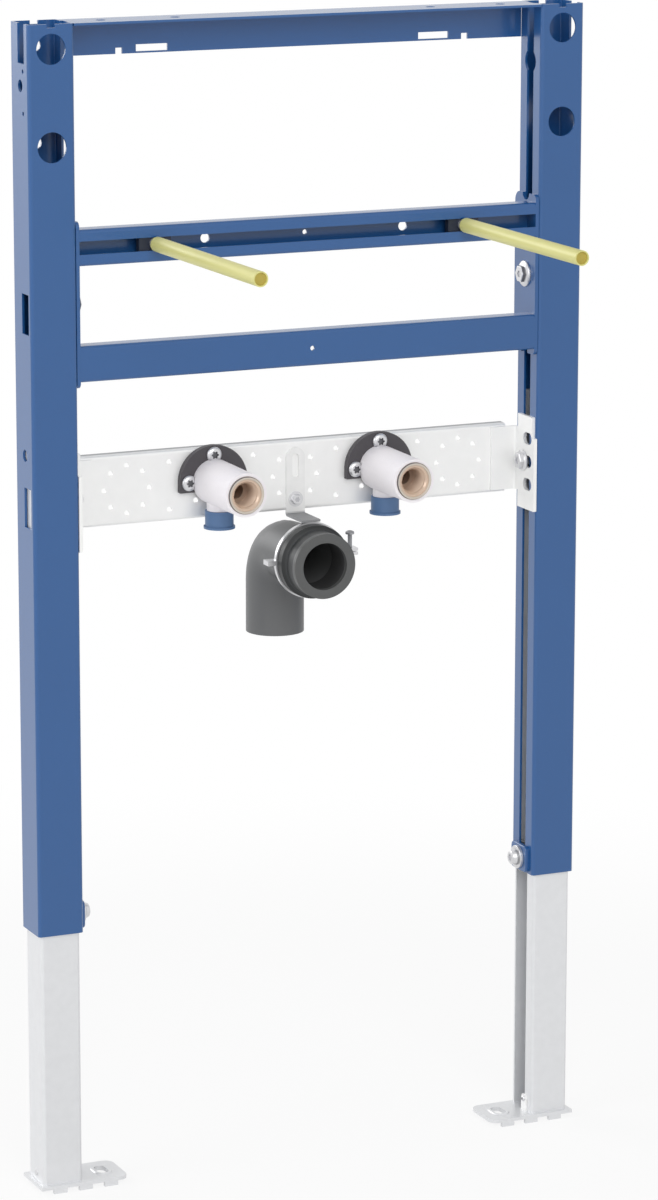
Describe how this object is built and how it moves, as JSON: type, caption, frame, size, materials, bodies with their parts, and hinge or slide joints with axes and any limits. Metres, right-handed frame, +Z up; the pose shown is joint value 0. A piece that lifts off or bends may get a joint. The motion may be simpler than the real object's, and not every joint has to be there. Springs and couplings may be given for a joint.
{
  "type": "wall hung washbasin frame",
  "caption": "Blue steel installation frame for a wall hung washbasin, with telescoping legs, sleeved basin studs, tap elbows on a plate and a clamped drain bend.",
  "frame": {"origin": "back face of the top rail, half way along the rail and half way up its web", "axes": "+X to the right seen from the front, +Y to the wall, +Z up; the studs, taps and drain socket point to -Y"},
  "size_m": [0.502, 0.318, 0.984],
  "materials": {
    "frame_blue": "satin powder coat",
    "galvanised": "galvanised",
    "zinc_screws": "zinc plated",
    "flange_grey": "matt",
    "insulation_white": "matt foam",
    "gunmetal": "cast and machined",
    "cap_blue": "moulded",
    "drain_grey": "moulded",
    "seal_black": "matt",
    "sleeve_yellow": "moulded"
  },
  "bodies": {
    "frame": {"basin_rail": "frame_blue", "drain_arm": "galvanised", "drain_bend": "drain_grey", "drain_clamp": "zinc_screws", "drain_clamp_screws": "zinc_screws", "drain_seal": "seal_black", "left_bracket_screw": "zinc_screws", "left_channel_nuts": "zinc_screws", "left_clamp_screw": "zinc_screws", "left_flange_screws": "zinc_screws", "left_joint_bolt": "zinc_screws", "left_joint_plate": "frame_blue", "left_leg_clamp": "frame_blue", "left_plate_bracket": "galvanised", "left_stud": "zinc_screws", "left_stud_nut": "flange_grey", "left_stud_sleeve": "sleeve_yellow", "left_supply_cap": "cap_blue", "left_tap_body": "insulation_white", "left_tap_flange": "flange_grey", "left_tap_socket": "gunmetal", "left_upright": "frame_blue", "lower_rail": "frame_blue", "mounting_plate": "galvanised", "right_bracket_screw": "zinc_screws", "right_channel_nuts": "zinc_screws", "right_clamp_screw": "zinc_screws", "right_flange_screws": "zinc_screws", "right_joint_bolt": "zinc_screws", "right_joint_plate": "frame_blue", "right_leg_clamp": "frame_blue", "right_plate_bracket": "galvanised", "right_stud": "zinc_screws", "right_stud_nut": "flange_grey", "right_stud_sleeve": "sleeve_yellow", "right_supply_cap": "cap_blue", "right_tap_body": "insulation_white", "right_tap_flange": "flange_grey", "right_tap_socket": "gunmetal", "right_upright": "frame_blue", "top_rail": "frame_blue"},
    "left_leg": {"left_leg": "galvanised", "left_foot_plate": "galvanised"},
    "right_leg": {"right_leg": "galvanised", "right_foot_plate": "galvanised"}
  },
  "joints": [
    {"name": "left_leg_slide", "type": "slide", "parent": "frame", "child": "left_leg", "axis": [0, 0, 1], "range_m": [0, 0.16]},
    {"name": "right_leg_slide", "type": "slide", "parent": "frame", "child": "right_leg", "axis": [0, 0, 1], "range_m": [0, 0.16]}
  ]
}
